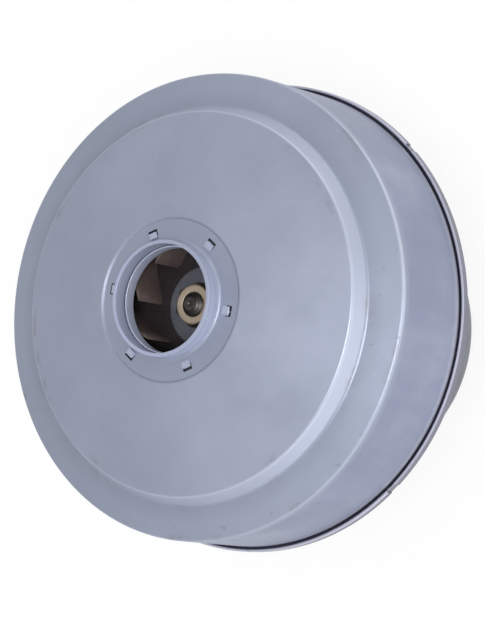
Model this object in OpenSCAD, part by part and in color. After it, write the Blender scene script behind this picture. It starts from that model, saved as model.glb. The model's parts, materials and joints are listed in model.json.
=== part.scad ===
// Vacuum motor unit: a single-stage fan end on a through-flow universal motor.
// The shaft stands along Z with the air inlet at the top. The origin is at the
// centre of the rear bearing boss, on the face that the motor stands on.

/* [Fan cover] */
// Outer radius of the cover's side wall
cover_r = 66; // [62:0.5:72]
// Thickness of the cover's steel sheet
sheet_t = 1; // [0.8:0.1:1.4]
// Height of the side wall, from the bracket to the shoulder
wall_h = 30.8; // [28:0.1:40]
// Rounding of the shoulder
corner_r = 2; // [1.6:0.1:4]
// How far the foot of the raised step stands out from its top
step_lean = 2.3; // [1.8:0.1:3.5]
// Rise of the sloping front ring, from the shoulder to the foot of the step
foot_rise = 2.4; // [0.5:0.1:4]
// Room between the impeller's edge and the top of the raised step
step_room = 2.4; // [1.8:0.1:3]
// Height of the raised step
step_rise = 4.2; // [2:0.1:6]
// Radius at the top of the cone, where the flat round the eye begins
cone_r = 22.9; // [22.6:0.1:26]
// Rise of the cone
cone_rise = 7.8; // [6:0.1:12]
// How far the flat round the eye is sunk below the top of the cone
eye_sink = 0.6; // [0.3:0.1:1]
// Outer radius of the collar round the inlet eye
lip_r = 16; // [15.5:0.1:16.4]
// Height of the collar above the flat
lip_h = 4.8; // [2:0.1:8]

/* [End bracket] */
// Thickness of the bracket's steel sheet
plate_t = 1.5; // [1:0.1:2]
// Depth of the bracket's pan
pan_depth = 10.3; // [8:0.1:14]
// Height of the rim round the cover, above the flange
rim_h = 1.5; // [1:0.1:1.8]
// Wall of the rim
rim_t = 1.2; // [0.8:0.1:1.6]
// How much lower and slimmer the two plain lengths of the rim are
plain_drop = 0.25; // [0.1:0.05:0.5]
// Depth of the notches at the ends of the plain lengths
notch_depth = 0.5; // [0.2:0.05:0.7]
// Width of these notches
notch_w = 3; // [1:0.5:6]
// Number of air windows in the bracket
air_windows = 6; // [4:1:8]

/* [Motor frame] */
// Outer radius of the motor frame
frame_r = 41; // [40.5:0.1:44]
// Thickness of the frame's steel sheet
frame_t = 1; // [0.8:0.1:1.2]
// Length of the frame, from its rear wall to the bracket
frame_len = 68.5; // [66:0.5:82]
// Rounding of the frame's rear corner
frame_corner = 8; // [5:0.5:9]
// Height of the rear bearing boss
boss_len = 12; // [10:0.1:14]
// Wall of the bearing seats
seat_t = 1.5; // [1:0.1:2]
// Number of exhaust windows
exhaust_count = 4; // [2:2:4]
// Width of each exhaust window
exhaust_w = 20; // [14:1:24]
// Height of each exhaust window
exhaust_h = 15; // [8:0.5:16]

/* [Impeller] */
// Outer radius of the impeller
impeller_r = 51; // [48:0.1:51.5]
// Number of blades
blade_count = 8; // [6:1:10]
// Angle of a blade to the tangent at its inlet, in degrees
blade_inlet = 28; // [22:1:40]
// Angle of a blade to the tangent at its outlet, in degrees
blade_exit = 35; // [28:1:50]
// Thickness of the impeller's aluminium sheet
blade_t = 0.8; // [0.6:0.1:1]
// Width of the impeller at its rim
outlet_w = 7.6; // [6:0.1:9]
// Gap between the cover and the front disc at its rim
tip_gap = 1.6; // [1:0.1:2.5]

/* [Shaft nut] */
// Size of the nut across its flats
nut_af = 11; // [10:0.1:13]
// Height of the nut
nut_h = 5; // [4:0.1:7]
// Thread diameter at the end of the shaft
thread_d = 6.7; // [6:0.1:7]
// How far the shaft stands out of the nut
thread_rise = 1.7; // [1:0.1:3]
// Radius of the washer below the nut
washer_r = 11.8; // [10:0.1:12.5]
// Thickness of the washer below the nut
washer_t = 1.5; // [1:0.1:2]

/* [Bearings] */
// Bore of both ball bearings
bearing_bore = 8; // [8:0.1:8.4]
// Outside diameter of both ball bearings
bearing_od = 22; // [21.6:0.1:23]
// Width of both ball bearings
bearing_w = 7; // [6.6:0.1:7.4]
// Ball diameter
ball_d = 4; // [3.6:0.1:4.2]
// Number of balls in each bearing
ball_count = 7; // [6:1:8]

/* [Rotor and stator] */
// Radius of the armature core
core_r = 19.5; // [18.5:0.1:20]
// Length of the armature core and of the stator
core_len = 20; // [16:0.5:21]
// Number of armature slots
slot_count = 12; // [8:1:14]
// Air gap between the armature and the poles
air_gap = 0.5; // [0.4:0.05:0.8]
// Height of the windings beyond each end of the core
winding_h = 5.5; // [4:0.1:6]
// Radius of the commutator's track
track_r = 11.5; // [11:0.1:12]
// Length of the commutator
track_len = 17; // [15:0.5:18]
// Number of commutator bars
bar_count = 24; // [16:1:26]

/* [Brush gear] */
// Width of a carbon brush, across the commutator
brush_w = 6; // [5:0.1:7]
// Height of a carbon brush, along the commutator
brush_h = 9.5; // [8:0.1:10]
// Length of a new carbon brush
brush_len = 20; // [16:0.5:22]
// Width of a terminal blade
blade_w = 6.3; // [4.8:0.1:7]
// Wire diameter of a brush spring
spring_wire = 0.5; // [0.4:0.05:0.6]

/* [Clearances] */
// Radial gap of parts that sit on or in one another
seat_gap = 0.02; // [0.01:0.01:0.05]
// Gap of parts that pass each other
run_gap = 0.4; // [0.3:0.05:0.5]
// Gap of a brush in its tube
slide_gap = 0.1; // [0.05:0.01:0.15]

/* [Hidden] */
$fn = 96;

// Heights, from the foot of the boss upwards
plate_z = boss_len + frame_len;
plate_top = plate_z + plate_t;
flange_z = plate_z - pan_depth;
flange_top = flange_z + plate_t;
shoulder_z = flange_top + wall_h;
foot_z = shoulder_z + foot_rise;
step_z = foot_z + step_rise;
cone_z = step_z + cone_rise;
flat_z = cone_z - eye_sink;
lip_z = flat_z + lip_h;
flat_under = flat_z - sheet_t;
step_r = impeller_r + step_room;
foot_r = step_r + step_lean;

// Height of the outside of the cone at a radius
cone_slope = cone_rise / (step_r - cone_r);
function cone_at(r) = step_z + (step_r - r) * cone_slope;

// A path with each corner rounded by its own radius, given as [r, z, radius]
arc_steps = 7;
function unit(v) = v / norm(v);
function corner_arc(a, b, c, r) =
    let (
        u = unit(a - b),
        v = unit(c - b),
        half = acos(u * v) / 2,
        mid = b + unit(u + v) * r / sin(half),
        p = b + u * r / tan(half) - mid,
        q = b + v * r / tan(half) - mid,
        span = 180 - 2 * half
    )
    [for (i = [0 : arc_steps])
        mid + (p * sin(span * (1 - i / arc_steps)) + q * sin(span * i / arc_steps)) / sin(span)];
function flat2(p) = [p[0], p[1]];
function rounded(path) = [
    for (i = [0 : len(path) - 1])
        each (path[i][2] == 0
            ? [flat2(path[i])]
            : corner_arc(flat2(path[i - 1]), flat2(path[i]), flat2(path[i + 1]), path[i][2]))];

// The same path moved sideways by a sheet's thickness, to its left
function left_of(a, b) = unit([a[1] - b[1], b[0] - a[0]]);
function moved(path, t) = [
    for (i = [0 : len(path) - 1])
        let (
            n0 = left_of(path[max(i - 1, 0)], path[max(i, 1)]),
            last = len(path) - 1,
            n1 = left_of(path[min(i, last - 1)], path[min(i + 1, last)])
        )
        path[i] + (n0 + n1) * t / (1 + n0 * n1)];
function backwards(path) = [for (i = [len(path) - 1 : -1 : 0]) path[i]];

// A half circle from one edge of a sheet's end to the other
function end_cap(a, b) =
    let (v = (a - b) / 2)
    [for (i = [1 : arc_steps])
        let (turn = 180 * i / (arc_steps + 1))
        (a + b) / 2 + v * cos(turn) + [-v[1], v[0]] * sin(turn)];

// A turned sheet whose outer face follows the path, with a plain or a round end
module turned_sheet(path, t, round_end) {
    outer = rounded(path);
    inner = backwards(moved(outer, t));
    cap = round_end ? end_cap(outer[len(outer) - 1], inner[0]) : [];
    rotate_extrude()
        polygon(concat(outer, cap, inner));
}

// A turned ring between two radii and two heights
module ring(r0, r1, z0, z1) {
    rotate_extrude()
        translate([r0, z0])
            square([r1 - r0, z1 - z0]);
}

// Copies turned evenly about the shaft
module around(count, start = 0) {
    for (i = [0 : count - 1])
        rotate(start + i * 360 / count)
            children();
}

// A flat sector that reaches past a radius, centred on X
module sector(r, spread) {
    reach = r / cos(spread / 2);
    polygon([[0, 0],
        [reach * cos(spread / 2), -reach * sin(spread / 2)],
        [reach, 0],
        [reach * cos(spread / 2), reach * sin(spread / 2)]]);
}

// Fan end, from the bracket up
spigot_gap = 0.2;
rim_gap = 0.3;
rim_r = cover_r + rim_gap + rim_t;
rim_top = flange_top + rim_h;
wall_room = 0.5;
vane_out = cover_r - sheet_t - corner_r - wall_room;
pan_lap = 0.8;
pan_r = vane_out + pan_lap;
foot_round = 1.5;
step_round = 1.8;
lip_round = 1;
window_room = 3;
window_edge = 5;
window_share = 0.7;
seat_r = bearing_od / 2 + seat_gap;
shaft_r = bearing_bore / 2 - seat_gap;
thread_r = thread_d / 2;

// Inlet seal
holder_t = 0.7;
holder_in = lip_r - sheet_t - run_gap;
holder_edge = 1.2;
holder_out = cone_r - holder_edge;
holder_z = flat_under - holder_t;
sleeve_len = 3.2;
seal_h = 3;
eye_in = holder_in + holder_t + run_gap;
eye_out = eye_in + blade_t;
tab_count = 6;
tab_first = 30;
tab_w = 2.4;
tab_r = (lip_r + cone_r) / 2;
tab_t = 0.6;
slot_room = 0.5;

// Impeller
shroud_edge = cone_at(impeller_r) - sheet_t - tip_gap;
shroud_neck = holder_z - seal_h - run_gap;
neck_r = holder_out + run_gap;
back_top = shroud_edge - blade_t - outlet_w;
back_z = back_top - blade_t;
blade_step = 0.7;
blade_in = eye_in - blade_step;
nut_z = back_top + washer_t;
thread_end = nut_z + nut_h + thread_rise;
disc_top = back_z - 3 * run_gap;
disc_t = 2;
disc_rise = shoulder_z - 2 * sheet_t - plate_top;

// Front bearing in the bracket and rear bearing in the boss
bearing_recess = 1.1;
front_z = plate_top - bearing_recess - bearing_w;
cup_t = 1.2;
cup_z = front_z - seat_gap - cup_t;
boss_r = seat_r + frame_t;
boss_round = 0.5;
boss_edge = frame_t + boss_round;
wave_t = 0.8;
rear_z = frame_t + wave_t;
shaft_lift = 0.5;
shaft_z = rear_z + shaft_lift;

// Armature, stator and brush gear
track_z = boss_len + frame_corner;
core_z = track_z + track_len + winding_h + run_gap;
stator_r = frame_r - frame_t - seat_gap;
pole_r = core_r + air_gap;
brush_rise = 8;
brush_z = track_z + brush_rise;
hook_reach = 2;
hook_r = track_r + hook_reach;
tube_t = 0.6;
tube_room = 1;
tube_w = brush_w + 2 * (slide_gap + tube_t);
tube_h = brush_h + 2 * (slide_gap + tube_t);
holder_wall = 2;
body_w = tube_w + 2 * (seat_gap + holder_wall);
body_h = tube_h + 2 * (seat_gap + holder_wall);
body_room = 3.5;
body_in = hook_r + body_room;
ear_w = 8;
pad_w = body_w + 2 * ear_w;
pad_t = 4;
pad_out = frame_r + pad_t;
brush_in = track_r + slide_gap;
brush_out = brush_in + brush_len;
pad_screw = body_w / 2 + ear_w / 2;
flange_w = 9;
frame_flange = frame_r + flange_w;
screw_in = 4;
screw_ring = frame_flange - screw_in;
screw_r = 1.5;
head_r = 2.8;
head_h = 2;
screw_count = 4;

module fan_cover() {
    color("lightsteelblue")
        difference() {
            turned_sheet([
                [cover_r - spigot_gap, flange_top, 0],
                [cover_r - spigot_gap, rim_top + rim_gap, 0],
                [cover_r, rim_top + rim_gap, 0],
                [cover_r, shoulder_z, corner_r],
                [foot_r, foot_z, foot_round],
                [step_r, step_z, step_round],
                [cone_r, cone_z, 0],
                [cone_r - eye_sink, flat_z, 0],
                [lip_r, flat_z, lip_round],
                [lip_r, lip_z - sheet_t / 2, 0]], sheet_t, true);
            around(tab_count, tab_first)
                translate([tab_r - tab_t / 2 - slide_gap, -tab_w / 2 - slide_gap, flat_under - sheet_t])
                    cube([tab_t + slide_gap + slot_room, tab_w + 2 * slide_gap, 3 * sheet_t]);
        }
}

module seal_holder() {
    color("gainsboro") {
        difference() {
            rotate_extrude() {
                translate([holder_in, holder_z])
                    square([holder_out - holder_in, holder_t]);
                translate([holder_in, flat_under - sleeve_len])
                    square([holder_t, sleeve_len]);
                translate([holder_out - holder_t, holder_z - seal_h / 2])
                    square([holder_t, seal_h / 2 + holder_t]);
            }
            around(tab_count, tab_first)
                translate([tab_r + tab_t / 2, -tab_w / 2, holder_z - holder_t])
                    cube([slot_room, tab_w, 3 * holder_t]);
        }
        around(tab_count, tab_first)
            translate([tab_r - tab_t / 2, -tab_w / 2, holder_z]) {
                cube([tab_t, tab_w, flat_z - holder_z + tab_t]);
                translate([-2 * tab_t, 0, flat_z - holder_z])
                    cube([3 * tab_t, tab_w, tab_t]);
            }
    }
}

module inlet_seal_ring() {
    color("dimgray")
        ring(eye_out + run_gap, holder_out - holder_t - seat_gap, holder_z - seal_h, holder_z);
}

// A straight vane between two radii, its outer end turned ahead of its inner end
module slant_vane(r0, r1, lead, t, h) {
    from = [r0, 0];
    to = r1 * [cos(lead), sin(lead)];
    run = to - from;
    translate(from)
        rotate(atan2(run[1], run[0]))
            translate([0, -t / 2, 0])
                cube([norm(run), t, h]);
}

module guide_vane_disc() {
    tip_room = 1.5;
    vane_in = impeller_r + tip_room;
    plate_lap = 3;
    plate_r = vane_in + plate_lap;
    hub_in = spacer_r + run_gap;
    hub_out = seat_r + seat_t + window_room;
    vane_t = 1.6;
    vane_count = 12;
    outer_lead = 15;
    return_lead = -25;
    color("darkslategray") {
        ring(hub_in, plate_r, disc_top - disc_t, disc_top);
        ring(hub_in, hub_in + vane_t, plate_top, disc_top - disc_t / 2);
        translate([0, 0, plate_top])
            around(vane_count) {
                slant_vane(vane_in + vane_t / 2, vane_out - vane_t / 2, outer_lead, vane_t, disc_rise);
                slant_vane(hub_out, plate_r - vane_t, return_lead, vane_t, disc_top - disc_t / 2 - plate_top);
            }
    }
}

// A length of the rim to be cut lower and slimmer
module rim_cut(drop, spread) {
    intersection() {
        rotate_extrude() {
            translate([rim_r - drop, flange_z - plate_t])
                square([2 * drop, rim_h + 3 * plate_t]);
            translate([rim_r - 2 * rim_t, rim_top - drop])
                square([3 * rim_t, 2 * drop]);
        }
        translate([0, 0, flange_z - plate_t])
            linear_extrude(rim_h + 3 * plate_t)
                sector(2 * rim_r, spread);
    }
}

module end_bracket() {
    window_in = seat_r + seat_t + window_room;
    window_out = frame_r - frame_t - window_edge;
    window_spread = window_share * 360 / air_windows;
    cup_lip = 3;
    plain_spread = 90;
    plain_first = 99;
    notch_spread = 2 * asin(notch_w / 2 / rim_r);
    color("silver")
        difference() {
            rotate_extrude() {
                translate([pan_r - plate_t, flange_z])
                    square([rim_r - pan_r + plate_t, plate_t]);
                translate([rim_r - rim_t, flange_z])
                    square([rim_t, plate_t + rim_h]);
                translate([pan_r - plate_t, flange_z])
                    square([plate_t, pan_depth + plate_t]);
                translate([seat_r, plate_z])
                    square([pan_r - seat_r, plate_t]);
                translate([seat_r, cup_z])
                    square([seat_t, plate_top - cup_z]);
                translate([seat_r - cup_lip, cup_z])
                    square([cup_lip + seat_t, cup_t]);
            }
            around(2, plain_first)
                rim_cut(plain_drop, plain_spread);
            for (end = [-1, 1])
                around(2, plain_first + end * plain_spread / 2)
                    rim_cut(notch_depth, notch_spread);
            around(air_windows)
                translate([0, 0, plate_z - plate_t])
                    linear_extrude(3 * plate_t)
                        intersection() {
                            difference() {
                                circle(window_out);
                                circle(window_in);
                            }
                            sector(window_out, window_spread);
                        }
            frame_screw_places()
                cylinder(r = screw_r + seat_gap, h = 4 * plate_t, center = true);
        }
}

// Places of the screws that hold the frame to the bracket
screw_first = 45;
module frame_screw_places() {
    around(screw_count, screw_first)
        translate([screw_ring, 0, plate_z])
            children();
}

module frame_screws() {
    color("slategray")
        frame_screw_places() {
            translate([0, 0, -frame_t])
                cylinder(r = screw_r, h = frame_t + plate_t);
            translate([0, 0, -frame_t - head_h])
                difference() {
                    cylinder(r = head_r, h = head_h);
                    cross_slot(head_r);
                }
        }
}

// A cross recess in the underside of a screw head
module cross_slot(r) {
    for (turn = [0, 90])
        rotate(turn)
            translate([-0.6 * r, -0.15 * r, -0.3 * r])
                cube([1.2 * r, 0.3 * r, 0.65 * r]);
}

// Places of the two brush sets, with X pointing outwards along the brush
module brush_places(turn) {
    rotate(turn)
        translate([0, 0, brush_z])
            children();
}

module motor_frame() {
    exhaust_z = boss_len + frame_corner + run_gap;
    exhaust_first = 45;
    color("silver")
        difference() {
            turned_sheet([
                [0, 0, 0],
                [boss_r, 0, boss_edge],
                [boss_r, boss_len, 0],
                [frame_r, boss_len, frame_corner],
                [frame_r, plate_z - frame_t, 0],
                [frame_flange, plate_z - frame_t, 0]], frame_t, false);
            around(exhaust_count, exhaust_first)
                translate([frame_r / 2, -exhaust_w / 2, exhaust_z])
                    cube([frame_r, exhaust_w, exhaust_h]);
            for (turn = [0, 180])
                brush_places(turn) {
                    translate([frame_r / 2, -body_w / 2 - seat_gap, -body_h / 2 - seat_gap])
                        cube([frame_r, body_w + 2 * seat_gap, body_h + 2 * seat_gap]);
                    for (side = [-1, 1])
                        translate([frame_r / 2, side * pad_screw, 0])
                            rotate([0, 90, 0])
                                cylinder(r = screw_r + seat_gap, h = frame_r);
                }
            frame_screw_places()
                cylinder(r = screw_r + seat_gap, h = 4 * plate_t, center = true);
        }
}

// Ball bearings
pitch_r = (bearing_bore + bearing_od) / 4;
ball_r = ball_d / 2;
ball_gap = 0.05;
land = 0.75 * ball_r;

module bearing_ring(r0, r1, z) {
    rotate_extrude()
        difference() {
            translate([r0, z])
                square([r1 - r0, bearing_w]);
            translate([pitch_r, z + bearing_w / 2])
                circle(ball_r + ball_gap);
        }
}

module bearing_inner(z) {
    color("lightgray")
        bearing_ring(bearing_bore / 2, pitch_r - land, z);
}

module bearing_outer(z) {
    color("lightgray")
        bearing_ring(pitch_r + land, bearing_od / 2, z);
}

module ball_places(z) {
    around(ball_count)
        translate([pitch_r, 0, z + bearing_w / 2])
            children();
}

module bearing_balls(z) {
    color("whitesmoke")
        ball_places(z)
            sphere(ball_r);
}

// The cage is a ring above the balls, with fingers between them
module bearing_cage(z) {
    mid = z + bearing_w / 2;
    color("goldenrod")
        difference() {
            ring(pitch_r - land / 2, pitch_r + land / 2, mid - ball_r / 4, mid + ball_r + 5 * slide_gap);
            ball_places(z)
                sphere(ball_r + slide_gap);
        }
}

module bearing_shields(z) {
    shield_t = 0.35;
    inset = 0.3;
    shield_gap = 0.25;
    color("silver")
        for (low = [z + inset, z + bearing_w - inset - shield_t])
            ring(pitch_r - land + shield_gap, pitch_r + land - seat_gap, low, low + shield_t);
}

module front_bearing_inner_ring() { bearing_inner(front_z); }
module front_bearing_outer_ring() { bearing_outer(front_z); }
module front_bearing_balls() { bearing_balls(front_z); }
module front_bearing_cage() { bearing_cage(front_z); }
module front_bearing_shields() { bearing_shields(front_z); }
module rear_bearing_inner_ring() { bearing_inner(rear_z); }
module rear_bearing_outer_ring() { bearing_outer(rear_z); }
module rear_bearing_balls() { bearing_balls(rear_z); }
module rear_bearing_cage() { bearing_cage(rear_z); }
module rear_bearing_shields() { bearing_shields(rear_z); }

module wave_washer() {
    color("slategray")
        ring(pitch_r + ball_r / 4, seat_r - boss_edge + frame_t - seat_gap, frame_t, frame_t + wave_t);
}

// Rotor
spacer_edge = 0.2;
spacer_r = pitch_r - land - spacer_edge;
blade_first = 94;
blade_end = impeller_r - blade_t;
blade_bend = (blade_end * blade_end - blade_in * blade_in)
    / (2 * (blade_end * cos(blade_exit) - blade_in * cos(blade_inlet)));
blade_pivot = sqrt(blade_in * blade_in + blade_bend * blade_bend
    - 2 * blade_in * blade_bend * cos(blade_inlet));
blade_turn = asin((blade_bend * blade_bend - blade_in * blade_in - blade_pivot * blade_pivot)
    / (2 * blade_in * blade_pivot));
neck_round = 0.6;
seam = 0.1;

module shaft() {
    end_bevel = 1.5;
    mark_r = 0.8;
    color("lightslategray")
        difference() {
            rotate_extrude()
                polygon([[0, shaft_z], [shaft_r, shaft_z], [shaft_r, back_z], [thread_r, back_z],
                    [thread_r, thread_end - end_bevel], [thread_r - end_bevel, thread_end], [0, thread_end]]);
            translate([0, 0, thread_end - mark_r])
                cylinder(r1 = 0, r2 = 2 * mark_r, h = 2 * mark_r);
        }
}

module impeller_spacer() {
    color("silver")
        ring(shaft_r + seat_gap, spacer_r, front_z + bearing_w, back_z);
}

module impeller_back_plate() {
    color("silver")
        ring(thread_r + seat_gap, impeller_r, back_z, back_top);
}

module impeller_shroud() {
    color("silver")
        turned_sheet([
            [impeller_r, shroud_edge, 0],
            [neck_r, shroud_neck, 0],
            [eye_out, shroud_neck, neck_round],
            [eye_out, holder_z - run_gap, 0]], blade_t, false);
}

// The space between the two discs of the impeller
module blade_space() {
    top = shroud_neck - blade_t - seam;
    edge = shroud_edge - blade_t - seam;
    rotate_extrude()
        polygon([[blade_in, back_top + seam], [impeller_r, back_top + seam],
            [impeller_r, edge], [neck_r, top], [blade_in, top]]);
}

// A blade in plan, an arc that is swept back outwards
module blade_plan() {
    intersection() {
        translate([0, -blade_pivot])
            difference() {
                circle(blade_bend + blade_t / 2);
                circle(blade_bend - blade_t / 2);
            }
        difference() {
            circle(blade_end);
            circle(blade_in);
        }
        translate([0, -2 * impeller_r])
            square([2 * impeller_r, 4 * impeller_r]);
    }
}

module impeller_blades() {
    color("darkgray")
        around(blade_count, blade_first - blade_turn)
            intersection() {
                blade_space();
                translate([0, 0, back_z])
                    linear_extrude(flat_under - back_z)
                        blade_plan();
            }
}

module clamp_washer() {
    edge = washer_t / 2;
    color("darkslategray")
        rotate_extrude()
            polygon([[thread_r + seat_gap, back_top], [washer_r, back_top], [washer_r, back_top + edge],
                [washer_r - edge, nut_z], [thread_r + seat_gap, nut_z]]);
}

module impeller_nut() {
    bevel = 0.7;
    color("khaki")
        difference() {
            translate([0, 0, nut_z])
                intersection() {
                    cylinder(r = nut_af / 2 / cos(30), h = nut_h, $fn = 6);
                    rotate_extrude()
                        polygon([[0, 0], [nut_af, 0], [nut_af, nut_h - bevel - nut_af / 2],
                            [nut_af / 2 - bevel / 2, nut_h], [0, nut_h]]);
                }
            translate([0, 0, nut_z - nut_h])
                cylinder(r = thread_r + seat_gap, h = 3 * nut_h);
        }
}

// Armature
slot_depth = 5;
slot_at = core_r - slot_depth;
slot_r = 2 * slot_at / slot_count;

module armature_core() {
    color("slategray")
        translate([0, 0, core_z])
            linear_extrude(core_len)
                difference() {
                    circle(core_r);
                    circle(shaft_r + seat_gap);
                    around(slot_count)
                        translate([slot_at, 0]) {
                            circle(slot_r);
                            translate([0, -slot_r / 3])
                                square([core_r, slot_r * 2 / 3]);
                        }
                }
}

module armature_winding() {
    turns_in = slot_at - slot_r;
    turns_out = slot_at + slot_r;
    color("peru") {
        for (z = [core_z - winding_h, core_z + core_len + seat_gap])
            ring(turns_in, turns_out, z, z + winding_h - seat_gap);
        translate([0, 0, core_z - winding_h / 2])
            linear_extrude(core_len + winding_h)
                around(slot_count)
                    translate([slot_at, 0])
                        circle(slot_r - slide_gap);
    }
}

bar_depth = 3;

module commutator_hub() {
    color("saddlebrown")
        ring(shaft_r + seat_gap, track_r - bar_depth - seat_gap, track_z, track_z + track_len);
}

module commutator_bars() {
    hook_h = 2.5;
    slit = 0.5;
    color("chocolate")
        difference() {
            rotate_extrude() {
                translate([track_r - bar_depth, track_z])
                    square([bar_depth, track_len]);
                translate([track_r - bar_depth, track_z + track_len - hook_h])
                    square([hook_r - track_r + bar_depth, hook_h]);
            }
            around(bar_count)
                translate([0, -slit / 2, track_z - hook_h])
                    cube([2 * hook_r, slit, track_len + 2 * hook_h]);
        }
}

// Stator
yoke_share = 0.375;
shoe_share = 0.175;
pole_room = stator_r - pole_r;
yoke_in = stator_r - yoke_share * pole_room;
shoe_out = pole_r + shoe_share * pole_room;
neck_w = 18;
pole_lap = 1;
shoe_spread = 110;
sleeve_t = 0.6;

module stator_core() {
    color("darkgray")
        translate([0, 0, core_z])
            linear_extrude(core_len) {
                difference() {
                    circle(stator_r);
                    circle(yoke_in);
                }
                for (turn = [90, 270])
                    rotate(turn) {
                        intersection() {
                            difference() {
                                circle(shoe_out);
                                circle(pole_r);
                            }
                            sector(shoe_out, shoe_spread);
                        }
                        difference() {
                            translate([0, -neck_w / 2])
                                square([yoke_in + pole_lap, neck_w]);
                            circle(pole_r + pole_lap);
                        }
                    }
            }
}

// A box round a pole's neck, larger than the neck by a margin on each side
module neck_box(margin) {
    translate([0, -neck_w / 2 - margin, core_z - margin])
        cube([stator_r, neck_w + 2 * margin, core_len + 2 * margin]);
}

coil_z = core_z - winding_h;
coil_top = core_z + core_len + winding_h;

module pole_sleeve(turn) {
    color("ivory")
        rotate(turn)
            difference() {
                intersection() {
                    neck_box(seat_gap + sleeve_t);
                    ring(shoe_out + slide_gap, yoke_in - slide_gap, coil_z, coil_top);
                }
                neck_box(seat_gap);
            }
}

module field_coil(turn) {
    color("peru")
        rotate(turn)
            difference() {
                intersection() {
                    neck_box(seat_gap + sleeve_t + slide_gap + winding_h);
                    ring(shoe_out + run_gap, yoke_in - run_gap, coil_z, coil_top);
                }
                neck_box(seat_gap + sleeve_t + slide_gap);
            }
}

module field_coil_left() { field_coil(90); }
module field_coil_right() { field_coil(270); }
module pole_sleeve_left() { pole_sleeve(90); }
module pole_sleeve_right() { pole_sleeve(270); }

// Brush gear, with the brushes along X
module brush_block(x0, x1, w, h) {
    translate([x0, -w / 2, -h / 2])
        cube([x1 - x0, w, h]);
}

module brush_holder(turn) {
    color("black")
        brush_places(turn)
            difference() {
                union() {
                    brush_block(body_in, pad_out, body_w, body_h);
                    difference() {
                        brush_block(frame_r / 2, pad_out, pad_w, body_h);
                        cylinder(r = frame_r + seat_gap, h = 2 * body_h, center = true);
                    }
                }
                brush_block(0, 2 * pad_out, tube_w + 2 * seat_gap, tube_h + 2 * seat_gap);
                for (side = [-1, 1])
                    translate([0, side * pad_screw, 0])
                        rotate([0, 90, 0])
                            cylinder(r = screw_r + seat_gap, h = 2 * pad_out);
            }
}

module brush_tube(turn) {
    color("gold")
        brush_places(turn)
            difference() {
                brush_block(hook_r + tube_room, pad_out, tube_w, tube_h);
                brush_block(0, 2 * pad_out, tube_w - 2 * tube_t, tube_h - 2 * tube_t);
            }
}

module carbon_brush(turn) {
    color("darkslategray")
        brush_places(turn)
            difference() {
                brush_block(track_r / 2, brush_out, brush_w, brush_h);
                cylinder(r = brush_in, h = 2 * brush_h, center = true);
            }
}

// A round wire wound along X, as one tube with flat ends
curls = 8;
curl_rings = 8;
wire_sides = 6;
spring_r = brush_w / 2 - spring_wire;
spring_from = brush_out + seat_gap + spring_wire / 2;
spring_len = pad_out - seat_gap - spring_wire / 2 - spring_from;
function wire_point(i, j) =
    let (
        turn = 360 * i / curl_rings,
        side = 360 * j / wire_sides,
        r = spring_r + spring_wire / 2 * cos(side)
    )
    [spring_from + spring_len * i / (curls * curl_rings) + spring_wire / 2 * sin(side),
        r * cos(turn), r * sin(turn)];

module brush_spring(turn) {
    rings = curls * curl_rings;
    points = [for (i = [0 : rings]) for (j = [0 : wire_sides - 1]) wire_point(i, j)];
    function at(i, j) = i * wire_sides + j % wire_sides;
    skin = [for (i = [0 : rings - 1]) for (j = [0 : wire_sides - 1])
        each [[at(i, j), at(i, j + 1), at(i + 1, j)], [at(i, j + 1), at(i + 1, j + 1), at(i + 1, j)]]];
    ends = [for (j = [1 : wire_sides - 2])
        each [[at(0, 0), at(0, j + 1), at(0, j)], [at(rings, 0), at(rings, j), at(rings, j + 1)]]];
    color("silver")
        brush_places(turn)
            polyhedron(points, concat(skin, ends));
}

module terminal(turn) {
    cap_t = 0.8;
    spade_len = 8;
    hole_r = 0.85;
    color("gold")
        brush_places(turn)
            difference() {
                union() {
                    brush_block(pad_out, pad_out + cap_t, tube_w, tube_h);
                    brush_block(pad_out, pad_out + cap_t + spade_len, cap_t, blade_w);
                }
                translate([pad_out + cap_t + spade_len / 2, 0, 0])
                    rotate([90, 0, 0])
                        cylinder(r = hole_r, h = 2 * tube_w, center = true);
            }
}

module brush_holder_screws() {
    reach = frame_r - frame_t - screw_r - pad_screw * pad_screw / (2 * frame_r);
    color("slategray")
        for (turn = [0, 180])
            brush_places(turn)
                for (side = [-1, 1])
                    translate([0, side * pad_screw, 0])
                        rotate([0, 90, 0]) {
                            translate([0, 0, reach])
                                cylinder(r = screw_r, h = pad_out + head_h / 4 - reach);
                            translate([0, 0, pad_out])
                                difference() {
                                    cylinder(r = head_r, h = head_h);
                                    translate([0, 0, head_h])
                                        mirror([0, 0, 1])
                                            cross_slot(head_r);
                                }
                        }
}

module brush_holder_up() { brush_holder(0); }
module brush_holder_down() { brush_holder(180); }
module brush_tube_up() { brush_tube(0); }
module brush_tube_down() { brush_tube(180); }
module carbon_brush_up() { carbon_brush(0); }
module carbon_brush_down() { carbon_brush(180); }
module brush_spring_up() { brush_spring(0); }
module brush_spring_down() { brush_spring(180); }
module terminal_up() { terminal(0); }
module terminal_down() { terminal(180); }

fan_cover();
seal_holder();
inlet_seal_ring();
guide_vane_disc();
end_bracket();
frame_screws();
motor_frame();
wave_washer();
front_bearing_outer_ring();
front_bearing_inner_ring();
front_bearing_balls();
front_bearing_cage();
front_bearing_shields();
rear_bearing_outer_ring();
rear_bearing_inner_ring();
rear_bearing_balls();
rear_bearing_cage();
rear_bearing_shields();
shaft();
impeller_spacer();
impeller_back_plate();
impeller_blades();
impeller_shroud();
clamp_washer();
impeller_nut();
armature_core();
armature_winding();
commutator_hub();
commutator_bars();
stator_core();
pole_sleeve_left();
pole_sleeve_right();
field_coil_left();
field_coil_right();
brush_holder_up();
brush_holder_down();
brush_tube_up();
brush_tube_down();
carbon_brush_up();
carbon_brush_down();
brush_spring_up();
brush_spring_down();
terminal_up();
terminal_down();
brush_holder_screws();
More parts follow.
